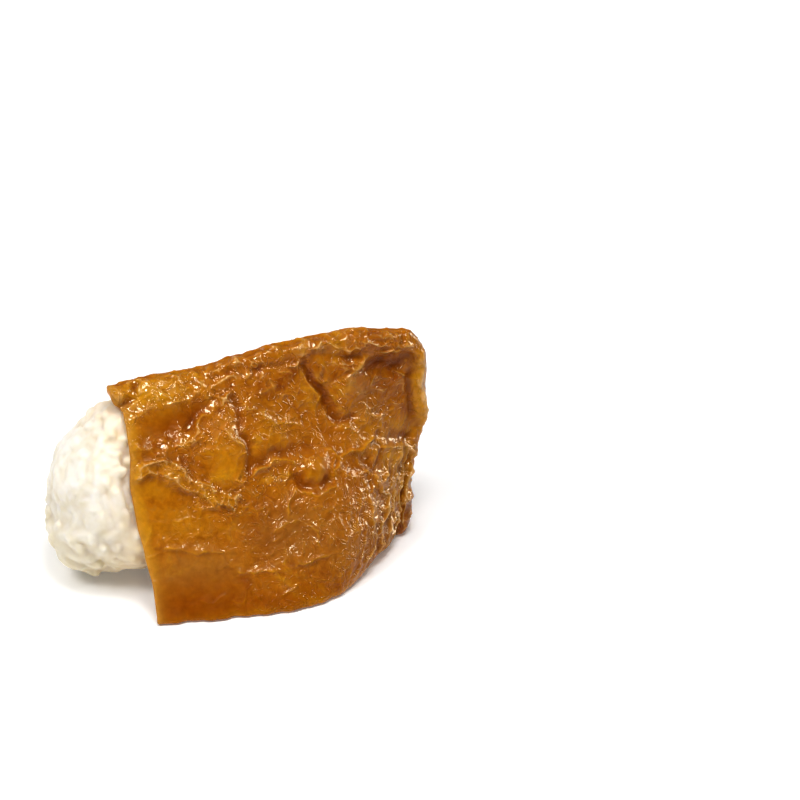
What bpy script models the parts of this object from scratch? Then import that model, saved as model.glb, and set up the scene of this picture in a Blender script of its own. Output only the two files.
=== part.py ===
# Inari sushi: a pouch of simmered fried tofu skin with a ball of rice in its open end.
#
# The pouch lies on its side. Its mouth faces -X, its closed end faces +X. One side fold of
# the flat pouch stands up as the ridge, and the other is the front lower edge. Towards the
# closed end the two layers of skin come together in a thin upright seam.
#
# Everything is built with the mouth at x = 0 and the ridge over y = 0, and is then moved so
# that the origin is at the middle of the bounding box's underside.

import math

import bmesh
import bpy
from mathutils import Vector, noise

MM = 0.001

# The pouch of tofu skin
SKIN_THICKNESS = 2.0 * MM
RIDGE_HEIGHTS = (44.0, 45.3, 45.2, 47.0, 48.0, 48.3, 48.0, 46.0)  # mm, mouth to closed end
CREST_HALF_WIDTH = 1.9 * MM        # half the thickness of the ridge and of the end seam
END_REACH = 73.4 * MM              # furthest point of the closed end, at END_HEIGHT
END_HEIGHT = 33.0 * MM
END_TOP_SETBACK = 4.0 * MM         # how far the top corner of the end is rounded back
END_FOOT_SETBACK = 8.8 * MM        # how far the foot of the end leans in
END_SWEEP = 7.5 * MM               # the foot of the closed end is swept forwards this much
SWEEP_START, SWEEP_STOP = 0.48, 0.86   # over this part of the length
SWEEP_HEIGHT = 24.0 * MM           # and below this height
END_FOOT_FOLD = 2.8 * MM           # the foot of the end seam is folded forward this much
BASE_LENGTH = 70.0 * MM            # over which the edges of the base taper to the end seam
FRONT_REACH = 31.5 * MM            # front lower edge at the mouth, from under the ridge
FRONT_SWELL = 4.5 * MM             # how much further out it lies over the middle
FRONT_TAPER = 1.42                 # slope in plan of the tucked front corner
BACK_REACH = 18.0 * MM
BACK_TAPER = 0.85
CORNER_SOFTNESS = 7.0 * MM         # rounding in plan between edge and tucked corner
MOUTH_EDGE = (-1.2, 0.6, 0.2, -0.9, -0.7, -0.1, 0.5, 0.2)  # mm, cut edge down the front
MOUTH_RECESS = 8.0 * MM            # the cut edge of the underside and back is set back
MOUTH_RAMP_BELOW = 8.0            # how steeply the set-back starts at the front lower edge
MOUTH_RAMP_ABOVE = 2.6             # and ends at the ridge
CAVITY_END = 0.92                  # share of the pouch's length that is hollow
TAIL_START = 0.75                  # share of the hollow after which it rounds off
TAIL_CLOSE = 0.96                  # how nearly it closes

# Corners of the front of a cross-section below the ridge: share of its width at the mouth and
# at the closed end, height in mm at the mouth and at the closed end, and easing in mm
FRONT_CORNERS = (
    (0.24, 0.12, 37.5, 38.0, 7.0),
    (0.38, 0.24, 30.5, 29.5, 6.0),
    (0.58, 0.50, 20.0, 22.5, 6.0),
    (0.80, 0.83, 9.0, 11.0, 6.0),
)
FRONT_EDGE_EASE = 2.5 * MM
CREST_EASE = 1.2 * MM
BACK_EDGE_SHARE = 0.35             # the back's lower edge, as a share of its depth
BACK_EDGE_EASE = 9.0 * MM
BACK_BELLY_HEIGHT = 13.0 * MM
BACK_BELLY_EASE = 10.0 * MM
BACK_SHOULDER_SHARES = (0.66, 0.40)   # at the mouth and at the closed end
BACK_SHOULDER_HEIGHT = 33.0 * MM
BACK_SHOULDER_EASE = 9.0 * MM
FIN_START, FIN_STOP = 0.30, 0.65   # over this length the section turns into an upright fin

# Folds in the skin. Each is a line on a panel, from one place to another, with its height
# and half width in mm. A place is a share of the way to the closed end, and a share of the
# way down from the ridge. A negative height is a crease.
FRONT_FOLDS = (
    ((0.00, 0.36), (0.12, 0.36), 0.8, 2.0),
    ((0.12, 0.36), (0.31, 0.56), 1.0, 2.4),
    ((0.23, 0.13), (0.10, 0.29), -1.0, 2.2),
    ((0.27, 0.16), (0.18, 0.30), 0.9, 2.2),
    ((0.35, 0.12), (0.37, 0.44), -0.9, 2.0),
    ((0.38, 0.42), (0.57, 0.43), 0.8, 1.9),
    ((0.57, 0.43), (0.84, 0.54), 0.8, 2.2),
    ((0.60, 0.05), (0.66, 0.36), -1.1, 2.6),
    ((0.66, 0.30), (0.75, 0.39), -0.9, 2.4),
    ((0.97, 0.10), (0.95, 0.60), 0.8, 2.2),
    ((0.56, 0.94), (0.80, 0.62), 0.7, 1.8),
    ((0.66, 0.96), (0.88, 0.66), 0.7, 1.8),
    ((0.76, 0.98), (0.94, 0.72), 0.7, 1.8),
    ((0.04, 0.70), (0.23, 0.76), -0.6, 1.8),
    ((0.24, 0.84), (0.46, 0.86), 0.6, 1.6),
)
BACK_FOLDS = (
    ((0.02, 0.30), (0.30, 0.44), 0.9, 2.4),
    ((0.34, 0.10), (0.30, 0.52), -0.9, 2.2),
    ((0.40, 0.50), (0.82, 0.46), 0.9, 2.4),
    ((0.62, 0.06), (0.56, 0.40), -1.0, 2.4),
    ((0.60, 0.94), (0.86, 0.60), 0.7, 1.8),
    ((0.72, 0.96), (0.95, 0.68), 0.7, 1.8),
    ((0.10, 0.78), (0.42, 0.70), -0.7, 2.0),
)
PANEL_HEIGHT = 56.0                # mm from ridge to lower edge along the skin
SKIN_LUMP = 0.35 * MM
SKIN_LUMP_PITCH = 6.0 * MM
FLOOR_CLEARANCE = (0.5 * MM, 5.0 * MM)   # folds grow from none to full over these heights

# The rice
RICE_GAP = 0.5 * MM                # between rice and skin
RICE_RADIUS = 17.8 * MM
RICE_CENTRE_X = 2.8 * MM
RICE_CENTRE_Y = -2.0 * MM
RICE_CENTRE_Z = 20.0 * MM
RICE_SQUARE_BELOW = 3.2            # 2 is a round ball, more is boxier: below its middle
RICE_SQUARE_ABOVE = 2.0            # and above it
RICE_SPREAD = 9.0 * MM             # inside the pouch it spreads this much further
RICE_SPREAD_END = 26.0 * MM
RICE_LUMP = 0.9 * MM
RICE_LUMP_PITCH = 5.5 * MM
RICE_SHOULDER_SLOPE = 1.2          # how fast the ball may widen out of the mouth
RICE_TIP_CROWDING = 1.6            # rings lie closer together at the ball's tip

# How finely the two solids are divided
STATIONS = 44
CAVITY_STATIONS = 16
FRONT_POINTS = 24
BASE_POINTS = 8
BACK_POINTS = 16
RING_POINTS = FRONT_POINTS + BASE_POINTS + BACK_POINTS
BALL_STATIONS = 12
EASE_STEPS = 8                     # parts of each eased corner
STATION_CROWDING = 0.86


def smooth_step(start, stop, value):
    share = min(max((value - start) / (stop - start), 0.0), 1.0)
    return share * share * (3.0 - 2.0 * share)


def blend(first, second, share):
    return first + (second - first) * share


def soft_min(first, second, softness):
    return 0.5 * (first + second - math.sqrt((first - second) ** 2 + softness ** 2))


def along_list(values, share):
    # A smooth curve through evenly spaced values, read at a share of its length.
    place = min(max(share, 0.0), 0.9999) * (len(values) - 1)
    index = int(place)
    return blend(values[index], values[index + 1], smooth_step(0.0, 1.0, place - index))


def ridge_height(along):
    return along_list(RIDGE_HEIGHTS, along) * MM


def front_reach(along):
    # Plan outline of the front lower edge: a slight swell, then a tucked corner to the seam.
    swell = FRONT_REACH + FRONT_SWELL * smooth_step(-0.1, 0.45, along)
    reach = soft_min(swell, (1.0 - along) * BASE_LENGTH * FRONT_TAPER, CORNER_SOFTNESS)
    return max(reach, CREST_HALF_WIDTH + END_FOOT_FOLD * smooth_step(0.7, 1.0, along))


def back_reach(along):
    reach = soft_min(BACK_REACH, (1.0 - along) * BASE_LENGTH * BACK_TAPER, CORNER_SOFTNESS)
    return max(reach, CREST_HALF_WIDTH)


def end_reach(z):
    # How far the closed end reaches at each height.
    if z > END_HEIGHT:
        rise = (z - END_HEIGHT) / (ridge_height(1.0) - END_HEIGHT)
        return END_REACH - END_TOP_SETBACK * rise ** 3
    return END_REACH - END_FOOT_SETBACK * (1.0 - z / END_HEIGHT) ** 1.6


def section_sides(along):
    # The corners of one cross-section as three sides: front, base and back. Each corner is
    # y, z and the length over which it is eased on both sides.
    fin = smooth_step(FIN_START, FIN_STOP, along)
    top = ridge_height(along)
    front = front_reach(along)
    back = back_reach(along)
    crest = CREST_HALF_WIDTH * (1.0 - 0.4 * smooth_step(0.95, 1.0, along))
    width = front - crest
    depth = back - crest
    front_corners = [
        (-crest - width * blend(at_mouth, at_end, fin), blend(low, high, fin) * MM, ease * MM)
        for at_mouth, at_end, low, high, ease in FRONT_CORNERS]
    front_edge = (-front, 0.0, FRONT_EDGE_EASE)
    back_edge = (crest + depth * BACK_EDGE_SHARE, 0.0, BACK_EDGE_EASE)
    back_belly = (back, BACK_BELLY_HEIGHT, BACK_BELLY_EASE)
    back_shoulder = (crest + depth * blend(*BACK_SHOULDER_SHARES, fin), BACK_SHOULDER_HEIGHT,
                     BACK_SHOULDER_EASE)
    crest_front = (-crest, top, CREST_EASE)
    crest_back = (crest, top, CREST_EASE)
    ridge = (0.0, top, 0.0)
    front_side = [ridge, crest_front] + front_corners + [front_edge]
    base_side = [front_edge, back_edge]
    back_side = [back_edge, back_belly, back_shoulder, crest_back, ridge]
    return front_side, base_side, back_side


def eased_outline(along):
    # One closed cross-section with eased corners, evenly divided on each of its three sides.
    sides = section_sides(along)
    corners = []
    for side in sides:
        corners.extend(side[:-1])
    count = len(corners)
    outline = []
    marks = {}
    for index, (y, z, ease) in enumerate(corners):
        here = Vector((y, z))
        before = Vector(corners[index - 1][:2])
        after = Vector(corners[(index + 1) % count][:2])
        if ease == 0.0:
            marks[index] = len(outline)
            outline.append(here)
            continue
        into = min(ease, 0.48 * (here - before).length)
        out = min(ease, 0.48 * (after - here).length)
        start = here + (before - here).normalized() * into
        stop = here + (after - here).normalized() * out
        for step in range(EASE_STEPS + 1):
            t = step / EASE_STEPS
            outline.append(start * (1 - t) ** 2 + here * 2 * t * (1 - t) + stop * t ** 2)
            if step == EASE_STEPS // 2:
                marks[index] = len(outline) - 1
    front_corner = marks[len(sides[0]) - 1]
    back_corner = marks[len(sides[0]) + len(sides[1]) - 2]
    loop = outline + [outline[0]]
    points = divided(loop[:front_corner + 1], FRONT_POINTS)
    points += divided(loop[front_corner:back_corner + 1], BASE_POINTS)
    points += divided(loop[back_corner:], BACK_POINTS)
    return points


def divided(line, count):
    # Points at even spacing along a polyline, without its last point.
    lengths = [0.0]
    for first, second in zip(line, line[1:]):
        lengths.append(lengths[-1] + (second - first).length)
    points = []
    piece = 0
    for step in range(count):
        target = lengths[-1] * step / count
        while lengths[piece + 1] < target:
            piece += 1
        share = (target - lengths[piece]) / (lengths[piece + 1] - lengths[piece])
        points.append(line[piece].lerp(line[piece + 1], share))
    return points


def fold_height(folds, along, down):
    # Height in mm of all folds of a panel at one place.
    here = Vector((along * END_REACH / MM, down * PANEL_HEIGHT))
    height = 0.0
    for start, stop, rise, half_width in folds:
        first = Vector((start[0] * END_REACH / MM, start[1] * PANEL_HEIGHT))
        line = Vector((stop[0] * END_REACH / MM, stop[1] * PANEL_HEIGHT)) - first
        share = min(max((here - first).dot(line) / line.length_squared, 0.0), 1.0)
        gap = (here - first - line * share).length
        height += rise * math.exp(-(gap / half_width) ** 2)
    return height


def relief(along, index, point):
    # How far the outer face of the skin stands out from the plain section.
    if FRONT_POINTS <= index <= FRONT_POINTS + BASE_POINTS:
        return 0.0
    if index < FRONT_POINTS:
        height = fold_height(FRONT_FOLDS, along, index / FRONT_POINTS)
    else:
        height = fold_height(BACK_FOLDS, along, (RING_POINTS - index) / BACK_POINTS)
    spot = Vector((along * END_REACH, point[0], point[1])) / SKIN_LUMP_PITCH
    lump = SKIN_LUMP * noise.noise(spot)
    clear_of_floor = smooth_step(*FLOOR_CLEARANCE, point[1])
    clear_of_seam = 1.0 - 0.8 * smooth_step(0.90, 0.99, along)
    return (height * MM + lump) * clear_of_floor * clear_of_seam


def wrinkled(along, outline):
    count = len(outline)
    points = []
    for index, point in enumerate(outline):
        tangent = outline[(index + 1) % count] - outline[index - 1]
        outward = Vector((-tangent[1], tangent[0])).normalized()
        points.append(point + outward * relief(along, index, point))
    return points


def mouth_offset(index):
    # The cut edge isn't flat: it bows out over the front panel and is set back elsewhere.
    if index <= FRONT_POINTS:
        return along_list(MOUTH_EDGE, index / FRONT_POINTS) * MM
    share = (index - FRONT_POINTS) / (BASE_POINTS + BACK_POINTS)
    ramp = min(1.0, MOUTH_RAMP_BELOW * share, MOUTH_RAMP_ABOVE * (1.0 - share))
    return MOUTH_RECESS * ramp + MOUTH_EDGE[0] * MM * share


def placed(along, index, point):
    # A section point put at its place along the pouch.
    mouth = mouth_offset(index)
    x = mouth + along * (end_reach(point[1]) - mouth)
    swept = smooth_step(SWEEP_START, SWEEP_STOP, x / END_REACH)
    swept *= smooth_step(SWEEP_HEIGHT, 0.0, point[1])
    return Vector((x, point[0] - END_SWEEP * swept, point[1]))


def distance_to_outline(point, outline):
    nearest = 1.0
    for first, second in zip(outline, outline[1:] + outline[:1]):
        edge = second - first
        share = (point - first).dot(edge) / edge.length_squared
        share = min(max(share, 0.0), 1.0)
        nearest = min(nearest, (point - first - edge * share).length)
    return nearest


def room_centre(along):
    front = front_reach(along)
    back = back_reach(along)
    y = blend(RICE_CENTRE_Y, (back - front) * 0.4, smooth_step(0.1, 0.7, along))
    z = blend(RICE_CENTRE_Z, 12.0 * MM, smooth_step(0.1, 0.8, along))
    return Vector((y, z))


def inset_outline(outline, centre, inset):
    # The outline drawn in towards its centre until it keeps the inset from the skin's face.
    points = []
    for corner in outline:
        low, high = 0.0, 1.0
        for halving in range(14):
            middle = (low + high) / 2
            if distance_to_outline(centre.lerp(corner, middle), outline) > inset:
                low = middle
            else:
                high = middle
        points.append(centre.lerp(corner, low))
    return points


def drawn_in(points, along):
    # The hollow and the rice in it round off before the end seam.
    centre = room_centre(along)
    tail = max(along / CAVITY_END - TAIL_START, 0.0) / (1.0 - TAIL_START)
    keep = math.sqrt(1.0 - TAIL_CLOSE * tail ** 2)
    return [centre.lerp(point, keep) for point in points]


def station_along(step, count):
    # Sections lie closer together towards the closed end.
    return math.sin(0.5 * math.pi * step / count) ** STATION_CROWDING


def bridge(mesh, first, second):
    # Triangles between two rings, always split the same way, so that walls stay parallel.
    count = len(first)
    faces = []
    for index in range(count):
        after = (index + 1) % count
        faces.append(mesh.faces.new((first[index], first[after], second[after])))
        faces.append(mesh.faces.new((first[index], second[after], second[index])))
    return faces


def close(mesh, ring):
    cap = mesh.faces.new(ring)
    bmesh.ops.triangulate(mesh, faces=[cap])


def new_object(name, mesh, colour, roughness):
    if mesh.calc_volume(signed=True) < 0.0:
        bmesh.ops.reverse_faces(mesh, faces=mesh.faces)
    data = bpy.data.meshes.new(name)
    mesh.to_mesh(data)
    mesh.free()
    data.shade_smooth()
    data.set_sharp_from_angle(angle=math.radians(50))
    material = bpy.data.materials.new(name)
    material.use_nodes = True
    surface = material.node_tree.nodes["Principled BSDF"]
    surface.inputs["Base Color"].default_value = (*colour, 1.0)
    surface.inputs["Roughness"].default_value = roughness
    surface.inputs["Metallic"].default_value = 0.0
    data.materials.append(material)
    thing = bpy.data.objects.new(name, data)
    bpy.context.scene.collection.objects.link(thing)
    return thing


def make_pouch():
    mesh = bmesh.new()
    rings = []
    for step in range(STATIONS + 1):
        along = station_along(step, STATIONS)
        outline = eased_outline(along)
        skin = wrinkled(along, outline)
        rings.append([mesh.verts.new(placed(along, i, p)) for i, p in enumerate(skin)])
    for first, second in zip(rings, rings[1:]):
        bridge(mesh, first, second)
    close(mesh, rings[-1])
    hollows = []
    for step in range(CAVITY_STATIONS + 1):
        along = CAVITY_END * station_along(step, CAVITY_STATIONS)
        outline = eased_outline(along)
        inner = drawn_in(inset_outline(outline, room_centre(along), SKIN_THICKNESS), along)
        hollows.append([mesh.verts.new(placed(along, i, p)) for i, p in enumerate(inner)])
    for first, second in zip(hollows, hollows[1:]):
        bmesh.ops.reverse_faces(mesh, faces=bridge(mesh, first, second))
    bridge(mesh, hollows[0], rings[0])
    close(mesh, list(reversed(hollows[-1])))
    return new_object("tofu_pouch", mesh, (0.40, 0.14, 0.02), 0.35)


def make_rice():
    # Outside the mouth the rice is a ball, inside it fills the hollow of the pouch.
    mesh = bmesh.new()
    rings = []
    centre = room_centre(0.0)
    room = inset_outline(eased_outline(0.0), centre, SKIN_THICKNESS + RICE_GAP)
    tip = RICE_CENTRE_X - RICE_RADIUS
    for step in range(1, BALL_STATIONS):
        share = step / BALL_STATIONS
        ring = []
        for index, limit in enumerate(room):
            mouth = placed(0.0, index, limit)
            x = blend(tip, mouth.x, share ** RICE_TIP_CROWDING)
            ray = limit - centre
            widest = ray.length + RICE_SHOULDER_SLOPE * (mouth.x - x)
            reach = min(ball_reach(x, ray.normalized()[1]), widest)
            point = centre + ray.normalized() * reach
            spot = Vector((x, point[0], point[1]))
            outward = spot - Vector((RICE_CENTRE_X, centre[0], centre[1]))
            lump = RICE_LUMP * noise.noise(spot / RICE_LUMP_PITCH) * (1.0 - share ** 4)
            ring.append(mesh.verts.new(spot + outward.normalized() * lump))
        rings.append(ring)
    for step in range(CAVITY_STATIONS):
        along = CAVITY_END * station_along(step, CAVITY_STATIONS)
        centre = room_centre(along)
        room = inset_outline(eased_outline(along), centre, SKIN_THICKNESS + RICE_GAP)
        ring = []
        for index, limit in enumerate(drawn_in(room, along)):
            ray = limit - centre
            reach = min(ball_reach(along * END_REACH, 0.0), ray.length)
            point = centre + ray.normalized() * reach
            ring.append(mesh.verts.new(placed(along, index, point)))
        rings.append(ring)
    for first, second in zip(rings, rings[1:]):
        bridge(mesh, first, second)
    close(mesh, list(reversed(rings[0])))
    close(mesh, rings[-1])
    return new_object("rice", mesh, (0.83, 0.79, 0.68), 0.5)


def ball_reach(x, lift):
    # Radius of the rice at x in a direction that rises by the lift, -1 to 1: a ball, boxier
    # at its foot, that widens once it is well inside the pouch.
    if x > RICE_CENTRE_X:
        return RICE_RADIUS + RICE_SPREAD * smooth_step(RICE_CENTRE_X, RICE_SPREAD_END, x)
    square = blend(RICE_SQUARE_BELOW, RICE_SQUARE_ABOVE, smooth_step(-1.0, 0.4, lift))
    share = (RICE_CENTRE_X - x) / RICE_RADIUS
    return RICE_RADIUS * max(1.0 - share ** square, 0.0) ** (1.0 / square)


def centre_on_origin(things):
    corners = [vertex.co for thing in things for vertex in thing.data.vertices]
    low = [min(corner[axis] for corner in corners) for axis in range(3)]
    high = [max(corner[axis] for corner in corners) for axis in range(3)]
    shift = Vector(((low[0] + high[0]) / 2, (low[1] + high[1]) / 2, low[2]))
    for thing in things:
        for vertex in thing.data.vertices:
            vertex.co -= shift


for thing in list(bpy.data.objects):
    bpy.data.objects.remove(thing)
pouch = make_pouch()
rice = make_rice()
centre_on_origin([pouch, rice])
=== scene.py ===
# Inari sushi: a pouch of simmered fried tofu skin on its side, with a ball of rice in its mouth.
import math
import random

import bmesh
import bpy
import numpy as np
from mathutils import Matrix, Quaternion, Vector, noise
from mathutils.bvhtree import BVHTree


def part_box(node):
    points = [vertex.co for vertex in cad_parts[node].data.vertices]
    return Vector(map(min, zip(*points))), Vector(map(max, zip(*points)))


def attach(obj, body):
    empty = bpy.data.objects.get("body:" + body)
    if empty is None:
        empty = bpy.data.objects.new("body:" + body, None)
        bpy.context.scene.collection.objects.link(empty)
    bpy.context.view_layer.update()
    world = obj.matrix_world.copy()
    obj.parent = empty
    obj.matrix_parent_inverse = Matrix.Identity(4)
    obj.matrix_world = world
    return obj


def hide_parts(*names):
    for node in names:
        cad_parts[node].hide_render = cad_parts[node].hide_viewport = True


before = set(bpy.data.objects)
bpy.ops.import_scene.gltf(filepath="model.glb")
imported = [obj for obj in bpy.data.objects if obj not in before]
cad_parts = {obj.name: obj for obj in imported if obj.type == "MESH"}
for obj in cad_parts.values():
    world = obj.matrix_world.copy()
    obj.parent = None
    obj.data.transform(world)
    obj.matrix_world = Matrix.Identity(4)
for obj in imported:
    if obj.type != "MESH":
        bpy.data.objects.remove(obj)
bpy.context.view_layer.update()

mm = 0.001
pouchLow = Vector(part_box("tofu_pouch")[0]) / mm


def smoothStep(start, stop, value):
    share = np.clip((value - start) / (stop - start), 0.0, 1.0)
    return share * share * (3.0 - 2.0 * share)


def blend(first, second, share):
    return first + (second - first) * share


def softMin(first, second, softness):
    return 0.5 * (first + second - math.sqrt((first - second) ** 2 + softness ** 2))


def alongList(values, share):
    place = min(max(share, 0.0), 0.9999) * (len(values) - 1)
    index = int(place)
    return blend(values[index], values[index + 1], float(smoothStep(0.0, 1.0, place - index)))


def noiseAt(places, pitch, seed):
    # soft noise, about -1 to 1, with lumps of the given pitch in mm
    spots = places / pitch + seed * 7.31
    return np.array([noise.noise(spot) for spot in spots.reshape(-1, 3).tolist()]).reshape(
        places.shape[:-1]) * 1.5


def layeredNoise(places, layers):
    # each layer is an amount, a pitch in mm and a seed
    return sum(amount * noiseAt(places, pitch, seed) for amount, pitch, seed in layers)


def ridged(values, sharpness):
    # crests where soft noise passes through zero
    return np.maximum(1.0 - np.abs(values) * sharpness, 0.0) ** 2


def softened(grid, passes):
    # grid is (rings, around): closed around, open along
    for _ in range(passes):
        padded = np.pad(grid, ((1, 1), (0, 0)), mode="edge")
        grid = 0.25 * (padded[:-2] + padded[2:]) + 0.5 * grid
        grid = 0.25 * (np.roll(grid, 1, 1) + np.roll(grid, -1, 1)) + 0.5 * grid
    return grid


def deselectAll():
    if bpy.context.object and bpy.context.object.mode != "OBJECT":
        bpy.ops.object.mode_set(mode="OBJECT")
    bpy.ops.object.select_all(action="DESELECT")


def activate(thing):
    deselectAll()
    thing.select_set(True)
    bpy.context.view_layer.objects.active = thing


# Pouch of tofu skin. It is shaped with x from the mouth to the closed end, y from the ridge to
# the back and z up from the table. Lengths are in mm.
pouch = {
    "around": 372,              # points round the pouch
    "frontShare": 0.60,         # share of them on the front
    "baseShare": 0.08,          # and on the base
    "firstCuts": 60,            # the tube is cut across twice: 60 cuts, then 3 in each part
    "secondCuts": 3,
    "wallRings": 12,            # rings of the inner wall
    "rimRings": 6,              # rings over the cut edge
    "mouthInset": 1.2,          # from the low corner of the CAD box to the mouth
    "ridgeInset": 34.4,         # and to the ridge
    "skinThickness": 2.0,
    "lipThickness": 0.95,
    "panelHeight": 56.0,        # ridge to lower edge along the skin
    "ridgeHeights": (44.0, 45.3, 45.2, 47.0, 48.0, 48.3, 48.0, 46.0),
    "crestHalfWidth": 1.9,
    "endReach": 73.4, "endHeight": 33.0, "endTopSetback": 4.0,
    "endFootSetback": 8.8, "endFootFold": 2.8,
    "endSweep": 7.5, "sweepShares": (0.48, 0.86), "sweepHeight": 24.0,
    "endHollow": 1.0, "endHollowHeights": (1.0, 7.0, 14.0, 24.0),
    "seamRound": 1.5,           # length over which the end seam rounds off
    "seamRings": 0.025,         # and its share of the rings
    "baseLength": 70.0,
    "frontReach": 31.5, "frontSwell": 4.5, "frontTaper": 1.42,
    "backReach": 18.0, "backTaper": 0.85, "cornerSoftness": 7.0,
    # corners of the front from ridge to lower edge: share of its depth and height at the mouth,
    # the same at the closed end, and the length each is eased over
    "frontProfile": ((0.24, 37.5, 0.12, 38.0, 7.0), (0.38, 30.5, 0.24, 29.5, 6.0),
                     (0.58, 20.0, 0.50, 22.5, 6.0), (0.80, 9.0, 0.83, 11.0, 6.0)),
    # how far the cut edge is set back, from the ridge down the front
    "mouthEdge": (0.6, 0.6, 0.2, -0.9, -0.7, -0.1, 0.5, 0.2),
    "mouthRecess": 8.0,         # and on the base and the back
    # the upper corner of the mouth stands out as a thick ear
    "earReach": 2.0, "earWidth": 3.9, "earThickening": 0.9,
    "cavityEnd": 0.92,          # share of the length at which the hollow ends
    "tailStart": 0.75,          # and share of the hollow from which it narrows
    # middle of the hollow: y and z at the mouth; at the closed end share of back less front, and z
    "roomAtMouth": (-2.0, 20.0), "roomAtEnd": (0.4, 12.0),
    "pinch": 0.22,              # how far crests are pinched, for a slope of 1
}
# Wrinkles of the skin: heights and pitches in mm
wrinkles = {
    "amount": 0.36,             # how wrinkled the front is outside the zones below
    "strapAmount": 1.3,         # and how much more on the main fold
    "creaseCalm": 0.75,         # share of the crests and the net that a crease smooths away
    "crestHeight": 0.52, "crestPitch": 5.0, "crestSharpness": 2.4,
    "netHeight": 0.54, "netPitch": 2.6, "netSharpness": 1.8,
    "push": 1.6, "pushPitch": 5.0,   # how far noise bends them
    "swellHeight": 0.28, "swellPitch": 13.0,
    "puffHeights": (-0.18, 0.36, 0.26), "puffPitches": (9.0, 4.4),
    "gatherHeight": 1.0, "gatherSharpness": 1.3,
    # amount, pitch and seed of each layer of noise
    "endWaves": ((0.45, 4.5, 31), (0.12, 1.8, 32)),
    "footWaves": ((0.75, 6.5, 41), (0.35, 2.6, 42)),
    "wobbleAlong": ((0.8, 4.0, 1), (0.22, 1.6, 2)),
    "wobbleDown": ((0.8, 4.0, 3), (0.22, 1.6, 4)),
    "ridgeKnobs": (0.55, 2.6, 33),
    "ridgeWaves": ((0.60, 6.0, 34), (0.5, 12.0, 35)),
}

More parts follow.
